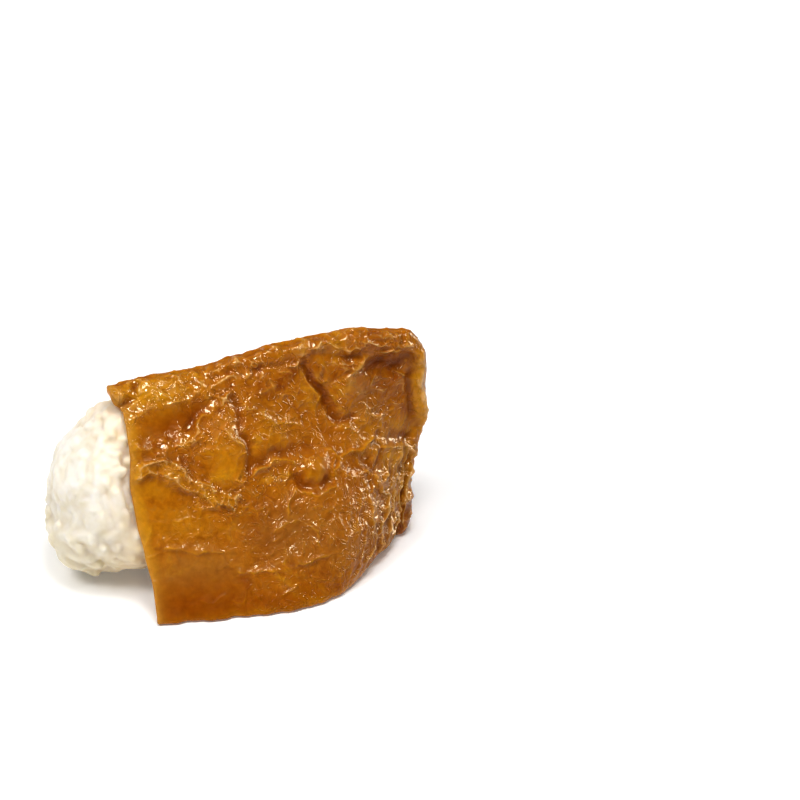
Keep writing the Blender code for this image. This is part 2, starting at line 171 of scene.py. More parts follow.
# Creases and folds of a panel: kind, height and half width in mm, then the places of its line
# in thousandths of the way to the closed end and of the way down from the ridge. A lap is a
# sharp step, high on the left of its line seen from outside with the mouth on the left.
frontFolds = (
    # facet at the mouth, under the ridge, and the leaf-shaped hollow below it
    ("ridge", 0.52, 0.77, (0, 170), (60, 150), (130, 130), (220, 115), (260, 80), (360, 75)),
    ("crease", -0.3, 1.4, (20, 250), (90, 225), (160, 215), (220, 165), (250, 120)),
    ("crease", -0.46, 0.7, (185, 250), (212, 210), (238, 160)),
    ("ridge", 0.45, 0.5, (120, 300), (175, 290), (212, 262), (226, 225), (250, 195), (285, 170)),
    ("ridge", 0.22, 0.3, (205, 250), (235, 255), (220, 280)),
    ("ridge", 0.26, 0.42, (190, 305), (215, 290), (240, 285)),
    # the rolled corner of the mouth
    ("crease", -0.7, 0.45, (-20, 95), (30, 75), (70, 45), (85, 0)),
    # left edge
    ("ridge", 0.3, 0.51, (0, 290), (40, 275), (65, 285), (85, 320), (55, 320)),
    # main fold from the mouth down to the middle
    ("strap", 0.55, 1.8, (0, 368), (50, 362), (100, 378), (142, 420), (170, 462), (205, 497),
     (250, 530), (310, 565)),
    ("ridge", 0.55, 0.42, (0, 355), (50, 350), (120, 360), (158, 395), (180, 440), (215, 475),
     (260, 505), (310, 550)),
    ("ridge", 0.45, 0.38, (0, 385), (40, 380), (70, 392), (100, 405), (125, 440), (155, 475),
     (195, 515), (235, 550)),
    ("ridge", 0.26, 0.34, (115, 380), (125, 410), (150, 435)),
    ("ridge", 0.26, 0.34, (180, 515), (205, 495), (225, 525)),
    # bulge and the groove on its right
    ("crease", -0.55, 0.75, (340, 130), (352, 200), (348, 280), (362, 330), (370, 380),
     (366, 430), (350, 480)),
    ("ridge", 0.38, 0.51, (290, 270), (305, 310), (335, 322), (352, 345), (360, 380)),
    ("ridge", 0.38, 0.51, (300, 120), (315, 150), (335, 180)),
    ("ridge", 0.3, 0.42, (335, 110), (325, 145), (300, 165)),
    # middle, above the blister
    ("ridge", 0.34, 0.42, (370, 170), (385, 210), (420, 240), (460, 270), (510, 300), (560, 325)),
    ("ridge", 0.22, 0.34, (360, 200), (400, 235), (450, 275)),
    ("ridge", 0.41, 0.59, (430, 165), (460, 155), (500, 140)),
    ("ridge", 0.38, 0.51, (490, 105), (520, 120), (550, 135)),
    ("ridge", 0.22, 0.34, (490, 185), (530, 200), (560, 215)),
    ("ridge", 0.22, 0.34, (520, 295), (550, 280), (575, 285)),
    # long valleys on the right
    ("crease", -0.75, 0.55, (585, 70), (600, 130), (615, 175), (635, 220), (650, 280)),
    ("crease", -0.55, 0.5, (640, 240), (655, 285), (672, 325), (700, 350), (750, 370)),
    ("crease", -0.25, 1.2, (595, 80), (605, 130), (620, 165)),
    ("ridge", 0.34, 0.68, (575, 90), (588, 140), (605, 180), (615, 235)),
    ("crease", -0.25, 1.2, (600, 250), (612, 300), (625, 360), (645, 420), (665, 470),
     (700, 490)),
    ("ridge", 0.38, 0.6, (690, 400), (720, 410), (742, 440), (745, 490)),
    # level fold across the middle
    ("crease", -0.4, 0.7, (370, 430), (410, 420), (460, 405), (520, 410), (570, 400), (600, 395)),
    ("ridge", 0.8, 0.6, (370, 460), (400, 445), (440, 432), (480, 433), (505, 450), (515, 478)),
    ("ridge", 0.38, 0.38, (355, 455), (330, 452), (322, 475), (340, 485), (352, 465), (390, 460)),
    ("ridge", 0.26, 0.42, (390, 475), (410, 500), (440, 505), (470, 490)),
    # around the blister
    ("crease", -0.8, 0.5, (508, 500), (522, 540), (552, 568), (588, 568), (612, 540)),
    ("ridge", 0.45, 0.42, (512, 565), (535, 592), (565, 602), (600, 598), (625, 575)),
    ("ridge", 0.85, 0.7, (620, 430), (640, 455), (652, 485), (700, 497), (760, 503), (800, 490)),
    ("ridge", 0.5, 0.3, (642, 490), (628, 540), (648, 530), (658, 498)),
    # right of the middle
    ("ridge", 0.55, 0.7, (660, 565), (700, 590), (740, 600), (790, 650), (820, 670)),
    ("crease", -0.5, 0.6, (750, 520), (745, 570), (770, 610), (800, 590), (810, 540), (790, 510),
     (760, 515)),
    ("ridge", 0.3, 0.42, (800, 390), (825, 410), (825, 450), (800, 460)),
    ("crease", -0.5, 0.7, (810, 460), (840, 510), (880, 545), (930, 580)),
    ("ridge", 0.8, 0.8, (800, 560), (870, 575), (910, 610), (940, 660)),
    ("crease", -0.46, 0.68, (870, 660), (910, 675), (950, 695)),
    # roll under the ridge
    ("crease", -0.3, 0.6, (300, 55), (400, 65), (500, 75), (580, 60), (660, 75), (750, 125),
     (800, 130)),
    ("ridge", 0.5, 0.55, (620, 45), (680, 50), (740, 85), (800, 100), (860, 135), (920, 130)),
    ("ridge", 0.45, 0.6, (700, 155), (740, 180), (775, 165), (800, 145)),
    ("ridge", 0.4, 0.4, (680, 110), (700, 145), (730, 150)),
    # recess at the upper right corner and the band down the end
    ("crease", -0.8, 1.2, (790, 170), (840, 190), (900, 195), (935, 180)),
    ("crease", -0.65, 0.5, (935, 140), (938, 300), (935, 420), (930, 500)),
    ("ridge", 0.8, 0.9, (975, 120), (972, 300), (975, 450), (970, 640)),
    ("ridge", 0.8, 1.1, (760, 70), (830, 95), (900, 100), (950, 80)),
    # lower half
    ("ridge", 0.22, 0.34, (100, 585), (130, 605), (180, 585)),
    ("ridge", 0.26, 0.42, (260, 610), (300, 590), (360, 575)),
    ("ridge", 0.15, 0.34, (140, 660), (170, 653)),
    ("lap", 0.7, 0.8, (30, 695), (100, 710), (160, 735), (230, 750)),
    ("lap", 0.65, 1.1, (245, 800), (255, 832), (285, 845), (380, 850), (460, 845), (560, 830)),
    ("lap", 0.5, 0.8, (535, 790), (525, 765), (532, 730), (520, 695), (480, 672), (440, 672),
     (395, 690)),
    ("lap", 0.35, 0.7, (380, 745), (420, 722), (455, 705)),
    ("ridge", 0.19, 0.34, (520, 655), (560, 650), (590, 665)),
    ("ridge", 0.15, 0.34, (390, 865), (450, 862)),
    # gathers in the tucked corner
    ("ridge", 0.38, 0.59, (620, 970), (680, 920), (740, 860)),
    ("ridge", 0.45, 0.59, (680, 990), (750, 910), (820, 860), (880, 820)),
    ("ridge", 0.45, 0.59, (760, 980), (830, 900), (920, 800)),
    ("ridge", 0.38, 0.59, (720, 600), (735, 700), (725, 800), (700, 880)),
    ("ridge", 0.38, 0.51, (780, 640), (790, 720), (780, 800), (750, 860)),
    ("ridge", 0.38, 0.51, (840, 660), (860, 740), (840, 820), (820, 920)),
    ("ridge", 0.38, 0.51, (910, 700), (920, 780), (900, 860), (910, 940)),
)
backFolds = (
    ("ridge", 0.68, 1.36, (20, 300), (140, 330), (300, 440)),
    ("crease", -0.53, 1.46, (340, 100), (330, 300), (300, 520)),
    ("ridge", 0.68, 1.27, (400, 500), (600, 460), (820, 460)),
    ("crease", -0.58, 1.46, (620, 60), (600, 240), (560, 400)),
    ("ridge", 0.52, 0.94, (600, 940), (740, 760), (860, 600)),
    ("ridge", 0.52, 0.94, (720, 960), (850, 820), (950, 680)),
    ("lap", 0.5, 1.3, (100, 780), (260, 720), (420, 700)),
)
# Swellings and hollows: place in thousandths, half length, half height and height in mm
frontLumps = (
    (-10, 40, 3.0, 1.9, 0.8),   # the rolled corner of the mouth
    (566, 500, 3.3, 3.5, 2.2),   # the blister
    (780, 555, 2.6, 2.6, 0.7),
    (300, 370, 5.0, 9.0, 0.8),   # bulge left of the groove
    (460, 330, 6.0, 5.0, 0.5),
    (700, 430, 2.6, 3.5, 0.6),
    (850, 270, 6.0, 7.5, -1.5),   # hollow panel at the upper right
    (780, 390, 5.0, 3.0, 0.6),
    (725, 235, 3.0, 3.0, 0.6), (885, 275, 2.2, 3.4, 0.6), (805, 245, 2.3, 2.2, 0.5),
    (765, 165, 2.0, 1.6, 0.4), (835, 330, 2.2, 2.0, 0.5),
    (150, 220, 6.0, 3.5, -0.7),
    (650, 220, 2.5, 7.0, -0.3),
    (120, 60, 8.0, 3.5, 0.6),
    (135, 405, 2.0, 2.0, 0.5),
    (880, 640, 3.0, 2.2, 0.7),
)
# Where the skin is finely wrinkled: place in thousandths, half length and half height in mm,
# and amount
wrinkleZones = (
    (80, 70, 11.0, 5.0, 1.0), (300, 130, 4.5, 3.5, 0.8), (500, 50, 34.0, 3.0, 0.8),
    (140, 410, 3.5, 3.5, 0.7), (230, 520, 5.0, 2.5, 0.8), (210, 260, 3.5, 4.0, 0.6),
    (320, 300, 3.0, 4.0, 0.5), (480, 140, 6.0, 3.0, 0.2), (555, 445, 3.5, 2.2, 0.6),
    (820, 290, 9.0, 8.0, 0.6), (780, 110, 12.0, 4.0, 0.8), (480, 220, 8.0, 5.0, 0.3),
    (970, 350, 2.0, 12.0, 0.6), (850, 90, 9.0, 3.0, 0.7), (600, 70, 10.0, 2.5, 0.6),
    (120, 290, 6.0, 2.5, 0.3), (720, 200, 4.0, 4.0, 0.5), (420, 480, 6.0, 2.5, 0.5),
    (900, 800, 14.0, 12.0, 0.9), (750, 920, 8.0, 6.0, 0.9),
)
# Puckers where the corner of the closed end is tucked in: their zones, and below them their
# slant in degrees, length and width in mm, amount and seed
gatherZones = (
    (900, 820, 15.0, 11.0, 1.0), (760, 920, 9.0, 7.0, 0.9), (930, 660, 7.0, 5.0, 0.7),
)
gatherFamilies = ((62.0, 9.0, 1.7, 1.0, 21), (35.0, 6.0, 2.4, 0.5, 22))
# Where the skin is darker: broth stains, and painted shade in its hollows, creases and under its
# lower edge; where it is yellow: thin skin, and painted light on its rims, its hem and its lit
# faces; where it is brownish grey and where it is stretched smooth
stainAndShadeZones = (
    (100, 930, 18.0, 6.0, 1.0), (340, 960, 20.0, 4.0, 0.8), (860, 300, 6.0, 8.0, 0.6),
    (860, 190, 6.0, 2.5, 0.8), (140, 220, 5.0, 2.5, 0.7), (220, 160, 2.5, 3.0, 0.7),
    (575, 545, 3.5, 1.8, 0.6), (630, 200, 1.4, 6.0, 0.45), (680, 380, 2.5, 4.0, 0.3),
    (360, 320, 1.3, 9.0, 0.3), (450, 400, 8.0, 1.0, 0.5), (420, 720, 12.0, 6.0, 0.5),
    (480, 150, 8.0, 4.0, 0.25), (500, 780, 4.0, 4.0, 0.4), (700, 660, 6.0, 5.0, 0.4),
    (900, 900, 12.0, 6.0, 0.5), (300, 620, 7.0, 3.0, 0.35),
)
# yellow zones: thin skin, with painted light and a painted reflection of the floor on the rims and
# the hem
yellowAndLitZones = (
    (0, 500, 2.0, 40.0, 1.0), (970, 350, 2.4, 13.0, 1.0), (400, 990, 30.0, 1.2, 0.8),
    (100, 70, 9.0, 4.0, 0.9), (50, 450, 7.0, 2.5, 0.5), (300, 400, 4.0, 6.0, 0.4),
    (130, 600, 9.0, 5.0, 0.4), (800, 450, 6.0, 5.0, 0.4), (880, 620, 7.0, 4.0, 0.5),
    (460, 300, 4.0, 5.0, 0.35), (900, 780, 9.0, 10.0, 0.5), (850, 500, 8.0, 3.0, 0.5),
)
greyZones = (
    (450, 720, 11.0, 6.0, 0.8), (140, 800, 12.0, 5.0, 0.7), (750, 800, 10.0, 8.0, 0.3),
    (880, 720, 6.0, 12.0, 0.25), (800, 330, 5.0, 5.0, 0.5), (600, 850, 12.0, 4.0, 0.4),
)
smoothZones = (
    (80, 850, 16.0, 9.0, 0.9), (50, 520, 7.0, 5.0, 0.8), (120, 190, 7.0, 3.0, 0.9),
    (300, 400, 4.0, 5.0, 0.5), (570, 515, 2.8, 2.6, 0.8),
)

ringCount = (pouch["firstCuts"] + 1) * (pouch["secondCuts"] + 1) + 1
innerCount = pouch["wallRings"] + pouch["rimRings"]
roundShares = np.arange(pouch["around"]) / pouch["around"]
frontShare = pouch["frontShare"]
backStart = frontShare + pouch["baseShare"]
onFront = roundShares <= frontShare
panelDown = np.where(onFront, roundShares / frontShare,
                     np.clip((1.0 - roundShares) / (1.0 - backStart), 0.0, 1.0))
mouthX, ridgeY = pouchLow.x + pouch["mouthInset"], pouchLow.y + pouch["ridgeInset"]


def ridgeHeight(along):
    return alongList(pouch["ridgeHeights"], along)


def frontReach(along):
    swell = pouch["frontReach"] + pouch["frontSwell"] * float(smoothStep(-0.1, 0.45, along))
    taper = (1.0 - along) * pouch["baseLength"] * pouch["frontTaper"]
    foot = pouch["crestHalfWidth"] + pouch["endFootFold"] * float(smoothStep(0.7, 1.0, along))
    return max(softMin(swell, taper, pouch["cornerSoftness"]), foot)


def backReach(along):
    taper = (1.0 - along) * pouch["baseLength"] * pouch["backTaper"]
    return max(softMin(pouch["backReach"], taper, pouch["cornerSoftness"]), pouch["crestHalfWidth"])


def endReach(z):
    rise = np.clip((z - pouch["endHeight"]) / (ridgeHeight(1.0) - pouch["endHeight"]), 0.0, 1.3)
    fall = np.clip(1.0 - z / pouch["endHeight"], 0.0, 1.0)
    return (pouch["endReach"] - pouch["endTopSetback"] * rise ** 3
            - pouch["endFootSetback"] * fall ** 1.6)


def endHollow(along, z):
    # between its foot and its middle the closed end is drawn in
    foot, low, high, middle = pouch["endHollowHeights"]
    return (pouch["endHollow"] * smoothStep(0.8, 1.0, along) * smoothStep(foot, low, z)
            * smoothStep(middle, high, z))


def footSweep(places):
    # the foot of the closed end is swept forwards
    share = places[..., 0] / pouch["endReach"]
    return (pouch["endSweep"] * smoothStep(*pouch["sweepShares"], share)
            * smoothStep(pouch["sweepHeight"], 0.0, places[..., 2]))


def sectionCorners(along):
    # corners of one cross-section, y, z and the length each is eased over: from the ridge down
    # the front, along the base and up the back
    fin = float(smoothStep(0.30, 0.65, along))
    top = ridgeHeight(along)
    front, back = frontReach(along), backReach(along)
    crest = pouch["crestHalfWidth"] * (1.0 - 0.4 * float(smoothStep(0.95, 1.0, along)))
    width, depth = front - crest, back - crest
    corners = [(0.0, top, 0.0), (-crest, top, 1.2)]
    for mouthShare, mouthHeight, endShare, endHeight, ease in pouch["frontProfile"]:
        corners.append((-crest - width * blend(mouthShare, endShare, fin),
                        blend(mouthHeight, endHeight, fin), ease))
    frontEdge = len(corners)
    corners += [
        (-front, 0.0, 2.5),
        (crest + depth * 0.35, 0.0, 9.0),
        (back, 13.0, 10.0),
        (crest + depth * blend(0.66, 0.40, fin), 33.0, 9.0),
        (crest, top, 1.2),
    ]
    return corners, frontEdge, frontEdge + 1


def sectionLine(along):
    # the eased cross-section as a fine closed line, with the places of its two lower edges
    corners, frontEdge, backEdge = sectionCorners(along)
    count = len(corners)
    line, marks = [], {}
    for index, (y, z, ease) in enumerate(corners):
        here = np.array((y, z))
        if ease == 0.0:
            marks[index] = len(line)
            line.append(here)
            continue
        ends = []
        for other in (corners[index - 1], corners[(index + 1) % count]):
            arm = np.array(other[:2]) - here
            length = np.linalg.norm(arm)
            ends.append(here + arm / length * min(ease, 0.48 * length))
        for step in range(17):
            t = step / 16
            line.append(ends[0] * (1 - t) ** 2 + here * 2 * t * (1 - t) + ends[1] * t ** 2)
        marks[index] = len(line) - 9
    line.append(line[0])
    return np.array(line), marks[frontEdge], marks[backEdge]


def sectionPoints(along):
    # points round one cross-section: most of them on the front, few on the base
    line, frontMark, backMark = sectionLine(along)
    lengths = np.concatenate(([0.0], np.cumsum(np.linalg.norm(np.diff(line, axis=0), axis=1))))
    places = np.interp(roundShares, (0.0, frontShare, backStart, 1.0),
                       (0.0, lengths[frontMark], lengths[backMark], lengths[-1]))
    return np.stack([np.interp(places, lengths, line[:, axis]) for axis in (0, 1)], 1)


def mouthOffset():
    # the cut edge waves over the front panel and is set back on the base and the back; also
    # returns how much of the ear there is at each point
    edge = np.array([alongList(pouch["mouthEdge"], share / frontShare) for share in roundShares])
    rest = np.clip((roundShares - frontShare) / (1.0 - frontShare), 0.0, 1.0)
    recess = pouch["mouthRecess"] * np.minimum(1.0, np.minimum(8.0 * rest, 2.6 * (1.0 - rest)))
    recess = recess + pouch["mouthEdge"][0] * rest
    ear = np.exp(-(panelDown * pouch["panelHeight"] / pouch["earWidth"]) ** 6)
    return np.where(onFront, edge, recess) - ear * pouch["earReach"], ear


def roomCentre(along):
    # the point of a cross-section that the hollow is drawn in towards
    front, back = frontReach(along), backReach(along)
    (mouthY, mouthZ), (endShare, endZ) = pouch["roomAtMouth"], pouch["roomAtEnd"]
    y = blend(mouthY, (back - front) * endShare, float(smoothStep(0.1, 0.7, along)))
    z = blend(mouthZ, endZ, float(smoothStep(0.1, 0.8, along)))
    return np.array((y, z))


def seamMiddle(points):
    # middle of the end seam at each height, between its front and its back
    front, back = points[onFront], points[roundShares >= backStart]
    frontY = np.interp(points[:, 1], front[::-1, 1], front[::-1, 0])
    backY = np.interp(points[:, 1], back[:, 1], back[:, 0])
    return (frontY + backY) / 2


def insetPoints(points, centre, inset):
    # points drawn towards the centre until they are the inset away from the skin's face
    first, edge = points, np.roll(points, -1, 0) - points
    low, high = np.zeros(len(points)), np.ones(len(points))
    for _ in range(12):
        middle = (low + high) / 2
        tried = centre + (points - centre) * middle[:, None]
        gap = tried[:, None] - first[None]
        share = np.clip((gap * edge).sum(2) / np.maximum((edge ** 2).sum(1), 1e-9), 0.0, 1.0)
        clear = np.linalg.norm(gap - edge * share[..., None], axis=2).min(1) > inset
        low, high = np.where(clear, middle, low), np.where(clear, high, middle)
    return centre + (points - centre) * low[:, None]


def foldShape(kind, nearest, side, halfWidth):
    # height of a fold of unit height, at a distance from its line
    if kind == "lap":
        signed = nearest * side
        return np.exp(-np.maximum(signed, 0.0) / halfWidth) / (1.0 + np.exp(-signed / 0.15))
    if kind == "crease":
        return 0.5 * np.exp(-(np.sqrt(nearest ** 2 + 0.20) - 0.45) / halfWidth) + 0.5 * np.exp(
            -(nearest / halfWidth / 1.8) ** 2)
    if kind == "strap":
        return np.exp(-(nearest / halfWidth) ** 4)
    return (0.62 * np.exp(-(nearest / halfWidth / 0.8) ** 2)
            + 0.38 * np.exp(-(nearest / halfWidth / 2.6) ** 2))


def foldField(folds, along, down, wobble):
    # height of all folds of a panel, at places given as shares
    u = along * pouch["endReach"] + wobble[..., 0]
    w = down * pouch["panelHeight"] + wobble[..., 1]
    total = np.zeros_like(u)
    for kind, height, halfWidth, *line in folds:
        spots = np.array(line) / 1000 * (pouch["endReach"], pouch["panelHeight"])
        steps = np.linalg.norm(np.diff(spots, axis=0), axis=1)
        starts = np.concatenate(([0.0], np.cumsum(steps)))
        nearest = np.full_like(u, 1e6)
        side, travel = np.zeros_like(u), np.zeros_like(u)
        for index, step in enumerate(steps):
            (ax, ay), (bx, by) = spots[index], spots[index + 1]
            share = np.clip(((u - ax) * (bx - ax) + (w - ay) * (by - ay)) / step ** 2, 0.0, 1.0)
            gapU, gapW = u - ax - (bx - ax) * share, w - ay - (by - ay) * share
            gap = np.hypot(gapU, gapW)
            closer = gap < nearest
            nearest = np.where(closer, gap, nearest)
            side = np.where(closer, np.sign((by - ay) * gapU - (bx - ax) * gapW), side)
            travel = np.where(closer, starts[index] + step * share, travel)
        # a fold fades out at both its ends
        fade = min(2.5, 0.3 * starts[-1])
        taper = smoothStep(0.0, fade, travel + 0.3 * fade) * smoothStep(
            0.0, fade, starts[-1] - travel + 0.3 * fade)
        # and its height varies along it
        shape = foldShape(kind, nearest, side, halfWidth)
        total += 1.25 * height * shape * taper * (0.85 + 0.45 * wobble[..., 2])
    return total


def spotDistance(spot, along, down):
    # squared distance from a spot, 1 on its outline
    placeAlong, placeDown, halfLength, halfHeight = spot
    return (((along - placeAlong / 1000) * pouch["endReach"] / halfLength) ** 2
            + ((down - placeDown / 1000) * pouch["panelHeight"] / halfHeight) ** 2)


def lumpField(lumps, along, down):
    total = np.zeros_like(along)
    for *spot, height in lumps:
        total += height * np.exp(-spotDistance(spot, along, down) ** 1.25)
    return total


def zoneField(zones, along, down):
    total = np.zeros_like(along)
    for *spot, amount in zones:
        total = np.maximum(total, amount * np.exp(-spotDistance(spot, along, down)))
    return total


def aroundSteps(grid):
    return np.roll(grid, -1, 1) - np.roll(grid, 1, 1)


def lengthOf(steps, least):
    return np.maximum(np.linalg.norm(steps, axis=2, keepdims=True), least)


def makePouchTube():
    # an open tube, its long edges cut across many times
    deselectAll()
    length = pouch["endReach"] * mm
    bpy.ops.mesh.primitive_cylinder_add(
        vertices=pouch["around"], radius=0.02, depth=length, end_fill_type="NOTHING",
        rotation=(0.0, math.pi / 2, 0.0))
    tube = bpy.context.object
    tube.name = tube.data.name = "tofu_pouch_skin"
    bpy.ops.object.transform_apply(location=True, rotation=True, scale=True)
    bpy.ops.object.mode_set(mode="EDIT")
    bpy.ops.mesh.select_mode(type="EDGE")
    for cuts in (pouch["firstCuts"], pouch["secondCuts"]):
        bpy.ops.mesh.select_all(action="DESELECT")
        shape = bmesh.from_edit_mesh(tube.data)
        for edge in shape.edges:
            first, second = edge.verts
            edge.select = abs(first.co.x - second.co.x) > 1e-5
        bmesh.update_edit_mesh(tube.data)
        bpy.ops.mesh.subdivide(number_cuts=cuts)
    bpy.ops.object.mode_set(mode="OBJECT")
    return tube


def plainSkin(mouths):
    # outer face before any folds, ring by ring from the mouth; the last rings round off the seam
    outerCount = ringCount - innerCount
    outer = np.zeros((outerCount, pouch["around"], 3))
    seamStart = 1.0 - pouch["seamRound"] / pouch["endReach"]
    bodyRings = 1.0 - pouch["seamRings"]
    for ring, share in enumerate(np.linspace(0.0, 1.0, outerCount)):
        turn = max(share - bodyRings, 0.0) / pouch["seamRings"] * math.pi / 2
        along = blend(0.0, seamStart, min(share / bodyRings, 1.0))
        along += (1.0 - seamStart) * math.sin(turn)
        points = sectionPoints(min(along, 1.0))
        points[:, 0] = blend(seamMiddle(points), points[:, 0], max(math.cos(turn), 0.04))
        x = mouths + along * (endReach(points[:, 1]) - mouths) - endHollow(along, points[:, 1])
        endLine = np.column_stack([np.zeros_like(x), np.full_like(x, 9.0), points[:, 1]])
        x += layeredNoise(endLine, wrinkles["endWaves"]) * float(smoothStep(0.90, 1.0, along))
        outer[ring] = np.column_stack([x, points])
    alongs = (outer[..., 0] - mouths) / (pouch["endReach"] - mouths)
    outer[..., 1] -= footSweep(outer)
    # the front foot waves in and out
    wave = layeredNoise(outer * (1.0, 0.0, 0.0), wrinkles["footWaves"])
    wave *= smoothStep(8.0, 0.0, outer[..., 2])
    outer[..., 1] += wave * smoothStep(0.0, -8.0, outer[..., 1])
    return outer, alongs


def gatherField(alongs, downs, wobble):
    # long narrow puckers that slant up towards the closed end, crossed by others
    u, w = alongs * pouch["endReach"], downs * pouch["panelHeight"]
    total = np.zeros_like(u)
    for angle, length, width, amount, seed in gatherFamilies:
        turned = math.radians(angle)
        run = (u * math.cos(turned) - w * math.sin(turned)) / length
        across = (u * math.sin(turned) + w * math.cos(turned)) / width
        spots = np.stack([run, across, 0.0 * run], 2) + 0.25 * wobble[..., :1]
        total += amount * ridged(noiseAt(spots, 1.0, seed), wrinkles["gatherSharpness"])
    return total


def foldHeights(outer, alongs, downs):
    # how far folds, swellings and wrinkles stand out, with what else the finish needs to know
    wobble = np.stack([layeredNoise(outer, wrinkles["wobbleAlong"]),
                       layeredNoise(outer, wrinkles["wobbleDown"]), noiseAt(outer, 3.0, 14)], 2)
    back = ~onFront

    def frontField(*kinds):
        folds = [fold for fold in frontFolds if fold[0] in kinds]
        return foldField(folds, alongs[:, onFront], downs[:, onFront], wobble[:, onFront])

    height = np.zeros_like(downs)
    height[:, onFront] = (frontField("ridge", "crease", "strap", "lap")
                          + lumpField(frontLumps, alongs[:, onFront], downs[:, onFront]))
    height[:, back] = foldField(backFolds, alongs[:, back], downs[:, back], wobble[:, back])
    strapped, valleys = np.zeros_like(height), np.zeros_like(height)
    strapped[:, onFront] = frontField("strap")
    valleys[:, onFront] = -frontField("crease")

    wrinkled = wrinkles["amount"] + zoneField(wrinkleZones, alongs, downs)
    wrinkled += wrinkles["strapAmount"] * strapped
    wrinkled = np.clip(wrinkled * (1.0 - zoneField(smoothZones, alongs, downs)), 0.0, 1.0)
    wrinkled = np.where(onFront, wrinkled, np.clip(0.25 + 0.6 * noiseAt(outer, 12.0, 16), 0.1, 0.7))
    gathered = zoneField(gatherZones, alongs, downs) * smoothStep(0.0, 1.5, outer[..., 2])
    calmEnd = 1.0 - 0.8 * smoothStep(0.92, 0.98, alongs)
    inOpen = 1.0 - wrinkles["creaseCalm"] * np.clip(valleys / 0.5, 0.0, 1.0)

    pushes = [noiseAt(outer, wrinkles["pushPitch"], seed) for seed in (5, 6, 7)]
    pushed = outer + np.stack(pushes, 2) * wrinkles["push"]
    (flat, puff, smallPuff), (pitch, smallPitch) = wrinkles["puffHeights"], wrinkles["puffPitches"]
    puffs = (flat + puff * np.abs(noiseAt(pushed, pitch, 8)) ** 0.8
             + smallPuff * np.abs(noiseAt(pushed, smallPitch, 9)))
    swell = (wrinkles["swellHeight"] * noiseAt(outer, wrinkles["swellPitch"], 15)
             + puffs * blend(0.55, 1.0, wrinkled))
    # both come and go in patches
    crests = (ridged(noiseAt(pushed, wrinkles["crestPitch"], 10), wrinkles["crestSharpness"])
              * np.clip(0.4 + 0.9 * noiseAt(outer, 7.0, 11), 0.0, 1.0))
    net = (ridged(noiseAt(pushed, wrinkles["netPitch"], 12), wrinkles["netSharpness"])
           * np.clip(0.6 + 0.8 * noiseAt(outer, 4.0, 13), 0.0, 1.0))
    ripples = (wrinkles["crestHeight"] * crests * (0.35 + wrinkled)
               + wrinkles["netHeight"] * net * wrinkled ** 1.2 * (1.0 - 0.85 * gathered))
    height += swell * (1.0 - 0.5 * gathered) + ripples * inOpen * blend(0.4, 1.0, calmEnd)
    height += wrinkles["gatherHeight"] * gatherField(alongs, downs, wobble) * gathered * calmEnd
    # the ridge is uneven
    byRidge = smoothStep(np.where(onFront, 0.05, 0.08), 0.0, downs)
    knob, knobPitch, knobSeed = wrinkles["ridgeKnobs"]
    height += byRidge * (knob * np.abs(noiseAt(outer, knobPitch, knobSeed))
                         + layeredNoise(outer, wrinkles["ridgeWaves"]))
    # flat on the table, plainer on the base and at the closed end
    height *= blend(0.12, 1.0, smoothStep(0.3, 4.0, outer[..., 2]))
    height = np.where((downs > 0.999) & back, 0.1 * height, height)
    height *= blend(1.0, 0.7, smoothStep(0.965, 1.0, alongs))
    height *= 1.0 - smoothStep(0.99, 1.0, alongs)
    return height, {"wobble": wobble, "wrinkled": wrinkled, "strapped": strapped,
                    "valleys": valleys}


def foldedSkin(outer, alongs, height):
    # heights go out along the normals, and crests are pinched: points slide a little uphill
    alongStep, aroundStep = np.gradient(outer, axis=0), aroundSteps(outer)
    normals = np.cross(aroundStep, alongStep)
    skin = outer + normals / lengthOf(normals, 1e-9) * height[..., None]
    slopeAlong = np.gradient(height, axis=0) / np.linalg.norm(alongStep, axis=2)
    slopeAround = aroundSteps(height) / lengthOf(aroundStep, 0.05)[..., 0]
    slide = pouch["pinch"] * smoothStep(0.0, 0.04, alongs) * (1.0 - smoothStep(0.95, 0.99, alongs))
    for step, slope in ((alongStep, slopeAlong), (aroundStep, slopeAround)):
        skin += step / lengthOf(step, 1e-9) * (np.clip(slope, -0.8, 0.8) * slide)[..., None]
    skin[..., 2] = np.maximum(skin[..., 2], 0.0)
    return skin


def innerSkin(mouths, ear, outer, skin):
    # rings of the inner wall from the closed end to the mouth, then of the rounded cut edge
    rows = []
    for ring in range(pouch["wallRings"]):
        depth = math.cos(0.5 * math.pi * ring / (pouch["wallRings"] - 1))
        along = pouch["cavityEnd"] * (0.02 + 0.98 * depth)
        centre = roomCentre(along)
        inner = insetPoints(sectionPoints(along), centre, pouch["skinThickness"])
        tail = max(along / pouch["cavityEnd"] - pouch["tailStart"], 0.0)
        tail /= 1.0 - pouch["tailStart"]
        inner = centre + (inner - centre) * math.sqrt(max(1.0 - tail ** 2, 0.0))
        rows.append(np.column_stack([mouths + along * (endReach(inner[:, 1]) - mouths), inner]))
        rows[-1][:, 1] -= footSweep(rows[-1])
    # the lip follows the folds beside it and is thicker at the ear
    face = outer[0, :, 1:]
    inset = insetPoints(face, roomCentre(0.0), pouch["lipThickness"])
    inset = face + (inset - face) * (1.0 + pouch["earThickening"] * ear)[:, None]
    lip = np.column_stack([mouths + 0.3, inset]) + (skin[0] - outer[0]) * 0.9
    for step in range(pouch["rimRings"]):
        angle = math.pi * step / pouch["rimRings"]
        ring = (lip + skin[0]) / 2 - (skin[0] - lip) / 2 * math.cos(angle)
        ring[:, 0] -= 0.45 * math.sin(angle)
        rows.append(ring)
    return np.array(rows)


